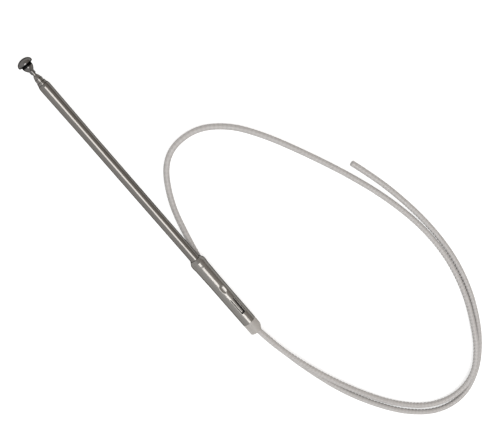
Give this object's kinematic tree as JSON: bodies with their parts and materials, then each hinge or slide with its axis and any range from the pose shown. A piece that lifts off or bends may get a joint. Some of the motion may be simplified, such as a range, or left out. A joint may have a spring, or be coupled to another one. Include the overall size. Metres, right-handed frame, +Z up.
{
  "type": "telescopic antenna mast",
  "caption": "Pushed-in telescopic antenna mast with a domed button tip, a metal base sleeve and a toothed plastic drive cord lying in loops.",
  "frame": {"origin": "on the mast's axis, at the lower face of the collar that the cord comes out of", "axes": "+X along the mast towards its tip; +Z up, off the surface that the part lies on; the cord's loops lie on the -Y side"},
  "size_m": [0.3895, 0.1473, 0.0153],
  "materials": {
    "bright_metal": "plated and polished, slightly dulled",
    "button_metal": "plated and polished",
    "satin_metal": "satin plating",
    "spring_metal": "plain",
    "collar_plastic": "moulded, matte",
    "cord_plastic": "translucent natural nylon, slightly glossy"
  },
  "bodies": {
    "base": {"outer_tube": "bright_metal", "ferrule": "satin_metal", "ferrule_liner": "collar_plastic", "cord_collar": "collar_plastic", "drive_cord": "cord_plastic"},
    "section_c": {"tube_c": "bright_metal", "tube_c_foot": "spring_metal", "tube_c_spring": "spring_metal"},
    "section_b": {"tube_b": "bright_metal", "tube_b_foot": "spring_metal", "tube_b_spring": "spring_metal"},
    "section_a": {"tube_a": "bright_metal", "tube_a_foot": "spring_metal", "tube_a_spring": "spring_metal"},
    "rod": {"top_rod": "bright_metal", "tip_button": "button_metal", "rod_foot": "spring_metal", "rod_spring": "spring_metal", "cord_coupler": "spring_metal", "cord_inner": "cord_plastic"}
  },
  "joints": [
    {"name": "c_slide", "type": "slide", "parent": "base", "child": "section_c", "axis": [1, 0, 0], "range_m": [0, 0.168]},
    {"name": "b_slide", "type": "slide", "parent": "section_c", "child": "section_b", "axis": [1, 0, 0], "range_m": [0, 0.17]},
    {"name": "a_slide", "type": "slide", "parent": "section_b", "child": "section_a", "axis": [1, 0, 0], "range_m": [0, 0.1715]},
    {"name": "rod_slide", "type": "slide", "parent": "section_a", "child": "rod", "axis": [1, 0, 0], "range_m": [0, 0.1663]}
  ]
}
